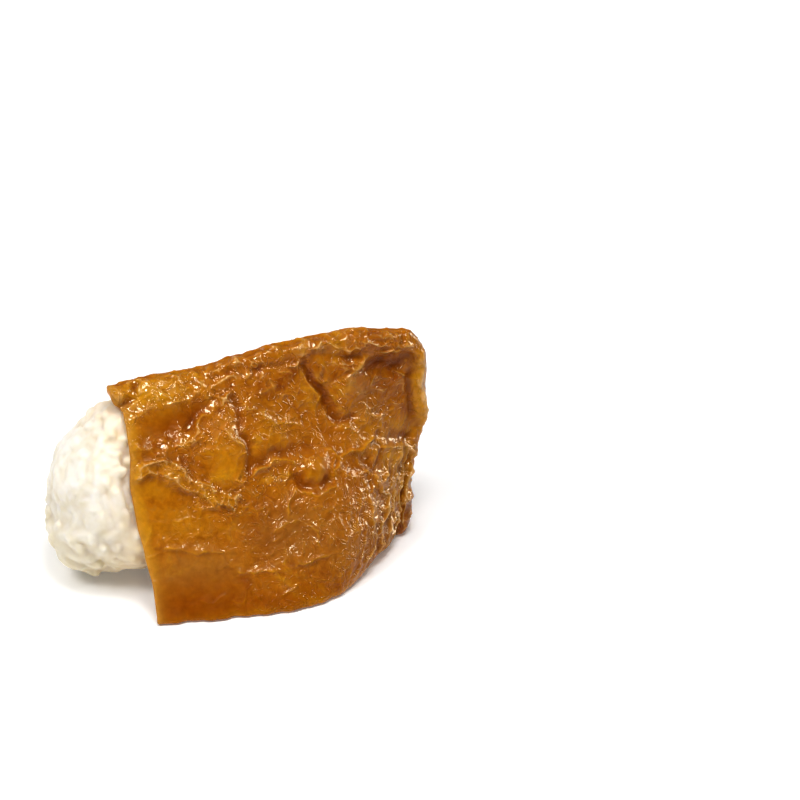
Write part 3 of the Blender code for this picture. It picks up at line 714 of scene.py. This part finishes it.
def colourGuides(outer, alongs, downs, height, known):
    # values on the vertices that the finish reads, each with its value for the inner rings
    guides = {"wrinkled": (0.3, known["wrinkled"])}
    # the finer relief paints shade in creases and light on crests; the broader one paints shade in
    # hollows
    for name, passes, size in (("relief", 12, 0.35), ("swelling", 160, 1.6)):
        standsOut = height - softened(height, passes)
        guides[name] = (0.5, np.clip(0.5 + standsOut / size / 2, 0.0, 1.0))
    guides["cutEdge"] = (0.0, np.exp(-np.abs(alongs) * pouch["endReach"] / 0.8))
    wobble = known["wobble"]
    # dark carries broth stains and painted shade, yellow thin skin and painted light; on the back
    # both are random patches
    for name, zones in (("dark", stainAndShadeZones), ("yellow", yellowAndLitZones), ("grey", greyZones)):
        zone = zoneField(zones, alongs + wobble[..., 0] / 90, downs + wobble[..., 1] / 60)
        patches = 0.3 * np.clip(noiseAt(outer, 9.0, len(name)), 0.0, 1.0)
        guides[name] = (0.0, np.where(onFront, zone, patches))
    # painted light and shade: the main fold is painted yellow, and the creases are painted darker
    # as shade
    guides["yellow"] = (0.0, guides["yellow"][1] + 0.5 * np.clip(known["strapped"], 0.0, 1.0))
    guides["dark"] = (0.0, np.clip(0.9 * guides["dark"][1] + 0.40 * known["valleys"], 0.0, 1.0))
    whole = {}
    for name, (inside, field) in guides.items():
        whole[name] = np.concatenate([np.full((innerCount, pouch["around"]), inside), field])
    whole["cutEdge"][pouch["wallRings"]:innerCount] = 1.0
    return whole


def placeVertices(tube, shell, guides):
    # every vertex of the tube finds its ring and its place round it
    places = np.zeros(len(tube.data.vertices) * 3)
    tube.data.vertices.foreach_get("co", places)
    places = places.reshape(-1, 3)
    length = pouch["endReach"] * mm
    ring = np.rint((places[:, 0] / length + 0.5) * (ringCount - 1)).astype(int)
    turn = np.arctan2(-places[:, 1], places[:, 2]) / (2 * math.pi)
    slot = np.rint(turn * pouch["around"]).astype(int) % pouch["around"]
    placed = (shell[ring, slot] + (mouthX, ridgeY, pouchLow.z)) * mm
    tube.data.vertices.foreach_set("co", placed.reshape(-1))
    for name, field in guides.items():
        tube.data.attributes.new(name, "FLOAT", "POINT").data.foreach_set(
            "value", field[ring, slot].astype(np.float32))
    tube.data.update()


def closeTube(tube):
    activate(tube)
    bpy.ops.object.mode_set(mode="EDIT")
    bpy.ops.mesh.select_all(action="SELECT")
    bpy.ops.mesh.remove_doubles(threshold=0.002 * mm)
    # the end seam is left open as a slit and is filled
    bpy.ops.mesh.select_all(action="DESELECT")
    bpy.ops.mesh.select_non_manifold()
    bpy.ops.mesh.fill()
    bpy.ops.mesh.select_all(action="SELECT")
    bpy.ops.mesh.normals_make_consistent(inside=False)
    bpy.ops.object.mode_set(mode="OBJECT")
    bpy.ops.object.shade_smooth()


def makePouchSkin():
    tube = makePouchTube()
    mouths, ear = mouthOffset()
    outer, alongs = plainSkin(mouths)
    downs = np.tile(panelDown, (len(outer), 1))
    height, known = foldHeights(outer, alongs, downs)
    skin = foldedSkin(outer, alongs, height)
    shell = np.concatenate([innerSkin(mouths, ear, outer, skin), skin])
    placeVertices(tube, shell, colourGuides(outer, alongs, downs, height, known))
    closeTube(tube)
    return tube


pouchSkin = makePouchSkin()
print("pouch skin:", len(pouchSkin.data.polygons), "faces")


# Rice: grains pressed together in the mouth, and packed rice inside the pouch. Lengths in mm.
rice = {
    "grainLength": 5.6, "grainWidth": 2.9, "grainHeight": 2.5,   # swollen by cooking
    "grainPitch": 2.6,          # spacing of grains on the ball
    "ballPlace": (2.8, -2.0, 20.0), "ballRadius": 17.8,   # from the mouth, the ridge and the table
    "sink": 1.0,                # how deep under the outline a grain's middle lies
    "pressed": 0.45, "pressedZone": (-5.5, -2.0),   # and how much deeper where the skin presses
    "voxel": 0.30, "softenings": 16,
    "visibleTo": 9.0,           # how far inside the mouth grains are laid
    "ballInset": 0.45,
    # in the mouth the heap swells by up to the fill, until it nearly meets the lip
    "fill": 2.5, "lipGap": 0.1, "fillZone": (-7.0, -0.5), "fillFade": (1.0, 4.0),
    # it sags in this direction, from nothing to its full amount between these two
    "slump": 2.2, "slumpTo": (-0.78, -0.12, -0.61), "slumpWidth": (0.86, 0.99),   # cosines
    "coreInset": 1.2, "coreVoxel": 0.8, "coreBumps": 0.35, "coreBumpPitch": 2.6,
    "seed": 7,
}


def makeGrain():
    # a short grain: a rounded bean with a small notch where the germ was
    deselectAll()
    bpy.ops.mesh.primitive_uv_sphere_add(segments=10, ring_count=9, radius=1.0,
                                         rotation=(0.0, math.pi / 2, 0.0))
    grain = bpy.context.object
    bpy.ops.object.transform_apply(location=True, rotation=True, scale=True)
    half = (rice["grainLength"] / 2, rice["grainWidth"] / 2, rice["grainHeight"] / 2)
    for vertex in grain.data.vertices:
        x, y, z = vertex.co
        blunt = 1.0 + 0.45 * x * x
        vertex.co = (x * half[0], (y * blunt + 0.12 * x * x - 0.04) * half[1], z * blunt * half[2])
        vertex.co *= mm
    return grain


def mouthOutline(centre):
    # the inner edge of the lip as angles round the centre and distances from it
    lip = insetPoints(sectionPoints(0.0), roomCentre(0.0), pouch["lipThickness"])
    lip = lip + (ridgeY, pouchLow.z) - (centre.y / mm, centre.z / mm)
    angles = np.arctan2(lip[:, 1], lip[:, 0])
    order = np.argsort(angles)
    return angles[order], np.hypot(lip[:, 0], lip[:, 1])[order]


def riceReach(direction, reach, fromMouth, lipOutline):
    # the heap follows the solid's outline, and in the mouth it swells until it meets the lip
    across = max(math.hypot(direction.y, direction.z), 0.05)
    angle = math.atan2(direction.z, direction.y)
    lip = float(np.interp(angle, *lipOutline, period=2 * math.pi)) / across - rice["lipGap"]
    share = float(smoothStep(*rice["fillZone"], fromMouth)
                  * (1.0 - 0.6 * smoothStep(*rice["fillFade"], fromMouth)))
    fill = rice["fill"] * (1.0 - 0.5 * float(smoothStep(-0.3, -0.8, direction.z)))
    slumping = smoothStep(*rice["slumpWidth"], direction.dot(Vector(rice["slumpTo"]).normalized()))
    return reach + rice["slump"] * float(slumping) + share * min(max(lip - reach, -0.2), fill)


def applied(thing, kind, **settings):
    # adds a modifier and applies it; the thing is the active object
    modifier = thing.modifiers.new(kind.lower(), kind)
    for name, value in settings.items():
        setattr(modifier, name, value)
    bpy.ops.object.modifier_apply(modifier=modifier.name)


def makeRice():
    outline = BVHTree.FromObject(bpy.data.objects["rice"], bpy.context.evaluated_depsgraph_get())
    draw = random.Random(rice["seed"])
    inside, forward, up = rice["ballPlace"]
    centre = Vector((mouthX + inside, ridgeY + forward, up)) * mm
    radius = rice["ballRadius"] * mm
    deepest = (mouthX + rice["visibleTo"]) * mm
    lipOutline = mouthOutline(centre)
    grain = makeGrain()
    grains = []
    count = int(4 * math.pi * (radius / mm) ** 2 / rice["grainPitch"] ** 2)
    for index in range(count):
        # evenly spread directions, each moved a little
        z = 1.0 - 2.0 * (index + 0.5) / count
        turn = index * math.pi * (3.0 - math.sqrt(5.0))
        flat = math.sqrt(1.0 - z * z)
        direction = Vector((flat * math.cos(turn), flat * math.sin(turn), z))
        direction += Vector([draw.uniform(-0.06, 0.06) for _ in range(3)])
        direction.normalize()
        spin, tilt = draw.uniform(0.0, 2 * math.pi), draw.gauss(0.0, 0.13)
        sink = rice["sink"] + draw.uniform(-0.14, 0.16) - 0.30 * max(-direction.z, 0.0)
        size = draw.uniform(0.88, 1.1)
        hit = outline.ray_cast(centre, direction)[0]
        if hit is None or hit.x > deepest:
            continue
        # by the skin the rice is pressed flat
        fromMouth = hit.x / mm - mouthX
        sink += rice["pressed"] * float(smoothStep(*rice["pressedZone"], fromMouth))
        reach = riceReach(direction, (hit - centre).length / mm, fromMouth, lipOutline)
        one = grain.copy()
        one.data = grain.data.copy()
        bpy.context.scene.collection.objects.link(one)
        one.rotation_mode = "QUATERNION"
        one.rotation_quaternion = (direction.to_track_quat("Z", "Y")
                                   @ Quaternion((0.0, 0.0, 1.0), spin)
                                   @ Quaternion((0.0, 1.0, 0.0), tilt))
        one.scale = (size, size, size)
        one.location = centre + direction * (reach - sink) * mm
        grains.append(one)
    bpy.data.objects.remove(grain)

    # the ball that the grains are pressed into
    deselectAll()
    bpy.ops.mesh.primitive_ico_sphere_add(subdivisions=6, radius=radius - rice["ballInset"] * mm,
                                          location=centre)
    ball = bpy.context.object
    for vertex in ball.data.vertices:
        direction = vertex.co.normalized()
        hit = outline.ray_cast(centre, direction)[0]
        if hit is not None:
            reach = riceReach(direction, (hit - centre).length / mm, hit.x / mm - mouthX,
                              lipOutline)
            reach = (reach - rice["ballInset"]) * mm
            vertex.co = direction * (reach if hit.x < deepest else min(reach, radius))
    for one in grains:
        one.select_set(True)
    bpy.context.view_layer.objects.active = ball
    bpy.ops.object.join()
    bpy.ops.object.transform_apply(location=True, rotation=True, scale=True)
    applied(ball, "REMESH", mode="VOXEL", voxel_size=rice["voxel"] * mm)
    applied(ball, "SMOOTH", factor=0.5, iterations=rice["softenings"])
    bpy.ops.object.shade_smooth()
    ball.name = ball.data.name = "rice_grains"
    return ball, len(grains)


def makeRiceCore():
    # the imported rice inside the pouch: the solid's own form, drawn in under the grains
    riceNode = bpy.data.objects["rice"]
    core = riceNode.copy()
    core.data = riceNode.data.copy()
    core.name = core.data.name = "rice_core"
    for tag in list(core.keys()):   # it isn't the CAD node itself
        del core[tag]
    bpy.context.scene.collection.objects.link(core)
    core.parent = None
    core.hide_render = core.hide_viewport = False
    core.data.materials.clear()
    activate(core)
    bpy.ops.object.mode_set(mode="EDIT")
    bpy.ops.mesh.select_all(action="SELECT")
    bpy.ops.mesh.remove_doubles(threshold=0.001 * mm)
    bpy.ops.mesh.normals_make_consistent(inside=False)
    bpy.ops.transform.shrink_fatten(value=-rice["coreInset"] * mm)
    bpy.ops.object.mode_set(mode="OBJECT")
    applied(core, "REMESH", mode="VOXEL", voxel_size=rice["coreVoxel"] * mm)
    for vertex in core.data.vertices:
        bump = noise.noise(vertex.co / mm / rice["coreBumpPitch"])
        vertex.co += vertex.normal * rice["coreBumps"] * mm * bump
    bpy.ops.object.shade_smooth()
    return core


riceBall, grainCount = makeRice()
riceCore = makeRiceCore()
print("rice:", grainCount, "grains,", len(riceBall.data.polygons), "faces; core",
      len(riceCore.data.polygons), "faces")


def linear(hexColour):
    values = [int(hexColour[place:place + 2], 16) / 255 for place in (1, 3, 5)]
    return (*[v / 12.92 if v <= 0.04045 else ((v + 0.055) / 1.055) ** 2.4 for v in values], 1.0)


def addNode(tree, kind, inputs=None, ramp=None, **settings):
    node = tree.nodes.new("ShaderNode" + kind)
    for name, value in settings.items():
        setattr(node, name, value)
    if ramp:
        stops = node.color_ramp.elements
        while len(stops) < len(ramp):
            stops.new(0.5)
        for stop, (place, colour) in zip(stops, ramp):
            stop.position, stop.color = place, linear(colour)
    setInputs(tree, node, inputs or {})
    return node


def setInputs(tree, node, inputs):
    for socket, value in inputs.items():
        if isinstance(value, bpy.types.NodeSocket):
            tree.links.new(value, node.inputs[socket])
        else:
            node.inputs[socket].default_value = value


def noiseNode(tree, place, pitch, **inputs):
    # noise with its largest features about the pitch in mm apart
    inputs = {"Vector": place, "Scale": 1 / (pitch * mm), **inputs}
    return addNode(tree, "TexNoise", inputs).outputs["Fac"]


def ranged(tree, value, start, stop, low=0.0, high=1.0, **settings):
    # the value's way from start to stop becomes low to high
    return addNode(tree, "MapRange", {"Value": value, "From Min": start, "From Max": stop,
                                      "To Min": low, "To Max": high}, **settings).outputs["Result"]


def mathNode(tree, operation, *values):
    return addNode(tree, "Math", dict(enumerate(values)), operation=operation).outputs[0]


def mixed(tree, share, first, second, **settings):
    return addNode(tree, "Mix", {0: share, 6: first, 7: second}, data_type="RGBA",
                   **settings).outputs[2]


def guideNode(tree, name):
    return addNode(tree, "Attribute", attribute_name=name).outputs["Fac"]


def newMaterial(name):
    material = bpy.data.materials.new(name)
    material.use_nodes = True
    tree = material.node_tree
    return material, tree, tree.nodes["Principled BSDF"]


# Fried tofu skin simmered in soy and sugar: wet and glossy, amber where the skin is thin and
# stretched, with painted shade red-brown in its folds and hollows, painted light on its crests,
# pale along the cut edge.
skinFinish = {
    # crease is painted shade, crest is thin skin with painted light, the pale highlight colour is a
    # painted highlight, and the pooled colour is broth stain and painted shade
    "crease": "#703502", "body": "#b06a0c", "crest": "#c88c16", "brothAndShade": "#8a4602",
    "yellow": "#c88a14", "grey": "#9c6a2c", "cutEdge": "#c08a3a", "paintedHighlight": "#dcae70",
    "roughness": (0.28, 0.44), "ior": 1.45, "specular": 0.05,
    "coat": (0.30, 0.9), "coatRoughness": 0.08, "coatIor": 1.30,
    "subsurface": 0.12, "glowRadius": (1.2, 0.5, 0.2),
}


def makeSkinMaterial():
    material, tree, surface = newMaterial("simmered_fried_tofu_skin")
    place = addNode(tree, "TexCoord").outputs["Object"]
    relief, swelling, wrinkled, cutEdge = [
        guideNode(tree, name) for name in ("relief", "swelling", "wrinkled", "cutEdge")]
    # broth stain in patches about 7 mm across
    stain = noiseNode(tree, place, 7.0, Detail=4.0, Roughness=0.6, Distortion=0.8)
    body = addNode(tree, "ValToRGB", {"Fac": stain}, ramp=[
        (0.30, skinFinish["brothAndShade"]), (0.46, skinFinish["body"]),
        (0.56, skinFinish["body"]), (0.72, skinFinish["yellow"])]).outputs["Color"]
    # cloudy mottling, patches about 2.5 mm
    mottle = noiseNode(tree, place, 2.5, Detail=5.0, Roughness=0.62, Distortion=1.0)
    # painted highlight: finely wrinkled skin is painted pale on its crests, standing in for the
    # glints on them
    paintedHighlight = mathNode(tree, "MULTIPLY", ranged(tree, wrinkled, 0.5, 0.95, 0.0, 0.7),
                    ranged(tree, relief, 0.6, 1.0))
    # tints over one another: mottling, stain zones with painted shade and light, then painted shade
    # in low places and creases, painted light and a painted highlight on crests, and the cut edge
    for share, tint in (
            (ranged(tree, mottle, 0.50, 0.68, 0.0, 0.55), "grey"),
            (ranged(tree, mottle, 0.48, 0.30, 0.0, 0.55), "brothAndShade"),
            (guideNode(tree, "yellow"), "yellow"),
            (guideNode(tree, "grey"), "grey"),
            (guideNode(tree, "dark"), "brothAndShade"),
            (ranged(tree, swelling, 0.05, 0.5, 0.8, 0.0), "brothAndShade"),
            (ranged(tree, relief, 0.1, 0.48, 0.45, 0.0), "crease"),
            (ranged(tree, relief, 0.55, 1.0, 0.0, 0.7), "crest"),
            (paintedHighlight, "paintedHighlight"),
            (mathNode(tree, "MULTIPLY", cutEdge, 0.7), "cutEdge")):
        body = mixed(tree, share, body, linear(skinFinish[tint]))
    # frying blisters and pores about 1.2 mm across
    pores = noiseNode(tree, place, 1.2, Detail=3.0, Roughness=0.55)
    body = mixed(tree, 1.0, body, ranged(tree, pores, 0.3, 0.7, 0.88, 1.10), blend_type="MULTIPLY")
    # finest wrinkles: thin crests about 1.2 mm apart, where noise of 2.4 mm passes its middle
    fineNet = noiseNode(tree, place, 2.4, Detail=0.8, Roughness=0.5, Distortion=1.2)
    crestLine = mathNode(tree, "ABSOLUTE", mathNode(tree, "SUBTRACT", fineNet, 0.5))
    crestLine = ranged(tree, crestLine, 0.0, 0.07, 1.0, 0.0, interpolation_type="SMOOTHSTEP")
    finest = mathNode(tree, "MULTIPLY", crestLine, ranged(tree, wrinkled, 0.15, 0.65))
    grain = mathNode(tree, "MULTIPLY_ADD", pores, 0.12, finest)
    bump = addNode(tree, "Bump", {"Height": grain, "Strength": 0.75, "Distance": 0.20 * mm})
    # the gloss varies over patches about 3 mm across, and wrinkled skin holds more broth
    wet = noiseNode(tree, place, 3.0, Detail=2.0)
    setInputs(tree, surface, {
        "Base Color": body,
        "Roughness": ranged(tree, wet, 0.35, 0.65, *skinFinish["roughness"]),
        "IOR": skinFinish["ior"], "Specular IOR Level": skinFinish["specular"],
        "Coat Weight": ranged(tree, wrinkled, 0.25, 0.7, *skinFinish["coat"]),
        "Coat Roughness": skinFinish["coatRoughness"], "Coat IOR": skinFinish["coatIor"],
        "Normal": bump.outputs["Normal"], "Coat Normal": bump.outputs["Normal"],
        "Subsurface Weight": skinFinish["subsurface"],
        "Subsurface Radius": skinFinish["glowRadius"], "Subsurface Scale": mm})
    return material


# Steamed short-grain rice: swollen, sticky and translucent, so edges between grains stay soft.
riceFinish = {
    # low is painted shade towards the table
    "body": "#ece7de", "shade": "#e3dac8", "low": "#cdbf9f", "stained": "#e2c495",
    "roughness": 0.5, "coat": 0.05, "subsurface": 0.95, "glowRadius": (3.6, 3.5, 2.7),
}


def makeRiceMaterial():
    material, tree, surface = newMaterial("steamed_rice")
    place = addNode(tree, "TexCoord").outputs["Object"]
    spot = addNode(tree, "SeparateXYZ", {"Vector": place})
    # paler and darker grains, patches about 4 mm
    colour = addNode(tree, "ValToRGB", {"Fac": noiseNode(tree, place, 4.0, Detail=2.0)}, ramp=[
        (0.35, riceFinish["shade"]), (0.62, riceFinish["body"])]).outputs["Color"]
    # painted shade: the grains are painted darker and yellower towards the table
    shadeNearTable = ranged(tree, spot.outputs["Z"], 3 * mm, 24 * mm, 0.8, 0.0)
    colour = mixed(tree, shadeNearTable, colour, linear(riceFinish["low"]))
    # and they are stained where they touch the skin
    stained = ranged(tree, spot.outputs["X"], (mouthX - 9) * mm, (mouthX + 2) * mm, 0.0, 0.6)
    colour = mixed(tree, stained, colour, linear(riceFinish["stained"]))
    # sticky surface, dimples about 0.8 mm
    bump = addNode(tree, "Bump", {"Height": noiseNode(tree, place, 0.8, Detail=1.0),
                                  "Strength": 0.25, "Distance": 0.15 * mm})
    setInputs(tree, surface, {
        "Base Color": colour, "Normal": bump.outputs["Normal"],
        "Roughness": riceFinish["roughness"], "IOR": 1.4,
        "Coat Weight": riceFinish["coat"], "Coat Roughness": 0.2,
        "Subsurface Weight": riceFinish["subsurface"],
        "Subsurface Radius": riceFinish["glowRadius"], "Subsurface Scale": mm})
    return material


pouchSkin.data.materials.append(makeSkinMaterial())
steamedRice = makeRiceMaterial()
riceBall.data.materials.append(steamedRice)
riceCore.data.materials.append(steamedRice)
for piece, node, slot in ((pouchSkin, "tofu_pouch", "tofu_skin"), (riceBall, "rice", "rice"),
                          (riceCore, "rice", "rice")):
    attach(piece, "root")
    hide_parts(node)
print("finishes done")


# Pale floor, soft light and camera
studio = {
    "azimuth": -19.0, "elevation": 31.0, "frameWidth": 177.8, "lens": 600.0, "sensor": 36.0,
    "corner": (1.4, 3.2, 0.5),         # front lower corner of the mouth, in mm within the CAD box
    "aimRight": 53.3, "aimUp": 50.2,   # where the camera aims, in mm from that corner
    "worldStrength": 0.09, "floorGlow": 0.11,
    # name, place in m, width in m, power in W
    "lights": (("softbox", (0.0, 0.0, 1.0), 1.2, 2.8), ("key", (0.04, -0.20, 0.86), 0.32, 3.6),
               ("keyLeft", (-0.50, -0.16, 0.66), 0.24, 2.5),
               ("rim", (-0.15, 0.45, 0.50), 0.12, 0.4)),
    "noGlint": ("softbox", "key"),     # these only light, and don't show in the wet skin
    # and these only show as glints in it
    "glints": (("glintTop", (-0.10, -0.12, 0.86), 0.18, 9.0),
               ("glintLeft", (-0.50, -0.26, 0.66), 0.11, 4.0),
               ("glintFront", (0.16, -0.56, 0.80), 0.08, 2.2),
               ("glintRight", (0.66, 0.04, 0.28), 0.16, 7.0),
               ("glintKey", (0.10, -0.22, 0.84), 0.16, 3.6)),
    "glintColour": "#fff0d2",
    "strip": "glintRight", "stripHeight": 3.2,   # a tall strip, so that puckers show as lines
}


def makeFloor():
    deselectAll()
    bpy.ops.mesh.primitive_plane_add(size=6.0, location=(0.0, 0.0, 0.0))
    floor = bpy.context.object
    floor.name = floor.data.name = "floor"
    # matt white card, faintly uneven, that glows a little so that shadows stay light
    material, tree, surface = newMaterial("white_card")
    fibre = addNode(tree, "TexNoise", {"Scale": 40.0, "Detail": 2.0})
    tone = addNode(tree, "ValToRGB", {"Fac": fibre.outputs["Fac"]}, ramp=[
        (0.3, "#fafafa"), (0.7, "#fdfdfd")])
    setInputs(tree, surface, {
        "Base Color": tone.outputs["Color"], "Roughness": 0.9, "Specular IOR Level": 0.1,
        "Emission Color": (1.0, 1.0, 1.0, 1.0), "Emission Strength": studio["floorGlow"]})
    floor.data.materials.append(material)


def makeLights():
    world = bpy.data.worlds.new("studio")
    bpy.context.scene.world = world
    world.use_nodes = True
    sky = world.node_tree.nodes["Background"]
    sky.inputs["Color"].default_value = (1.0, 1.0, 1.0, 1.0)
    sky.inputs["Strength"].default_value = studio["worldStrength"]
    for name, spot, size, power in studio["lights"] + studio["glints"]:
        bpy.ops.object.light_add(type="AREA", location=spot)
        lamp = bpy.context.object
        lamp.name = name
        lamp.data.size = size
        if name == studio["strip"]:
            lamp.data.shape = "RECTANGLE"
            lamp.data.size_y = size * studio["stripHeight"]
        lamp.data.energy = power
        if name.startswith("glint"):
            lamp.data.color = linear(studio["glintColour"])[:3]
            lamp.visible_diffuse = False
        lamp.rotation_euler = (-Vector(spot)).to_track_quat("-Z", "Y").to_euler()
        lamp.visible_glossy = name not in studio["noGlint"]


def makeCamera():
    turn, rise = math.radians(studio["azimuth"]), math.radians(studio["elevation"])
    right = Vector((math.cos(turn), math.sin(turn), 0.0))
    back = Vector((math.sin(turn) * math.cos(rise), -math.cos(turn) * math.cos(rise),
                   math.sin(rise)))
    up = back.cross(right)
    cornerX, cornerY, cornerZ = studio["corner"]
    corner = Vector((pouchLow.x + cornerX, pouchLow.y + cornerY, cornerZ))
    aim = (corner + right * studio["aimRight"] + up * studio["aimUp"]) * mm
    distance = studio["frameWidth"] * mm * studio["lens"] / studio["sensor"]
    bpy.ops.object.camera_add(location=aim + back * distance)
    camera = bpy.context.object
    camera.data.lens, camera.data.sensor_width = studio["lens"], studio["sensor"]
    camera.data.clip_start, camera.data.clip_end = 0.1, 50.0
    camera.rotation_mode = "QUATERNION"
    camera.rotation_quaternion = back.to_track_quat("Z", "Y")
    bpy.context.scene.camera = camera
    bpy.context.scene.view_settings.view_transform = "Standard"
    bpy.context.scene.view_settings.look = "Medium High Contrast"


makeFloor()
makeLights()
makeCamera()
print("studio done")
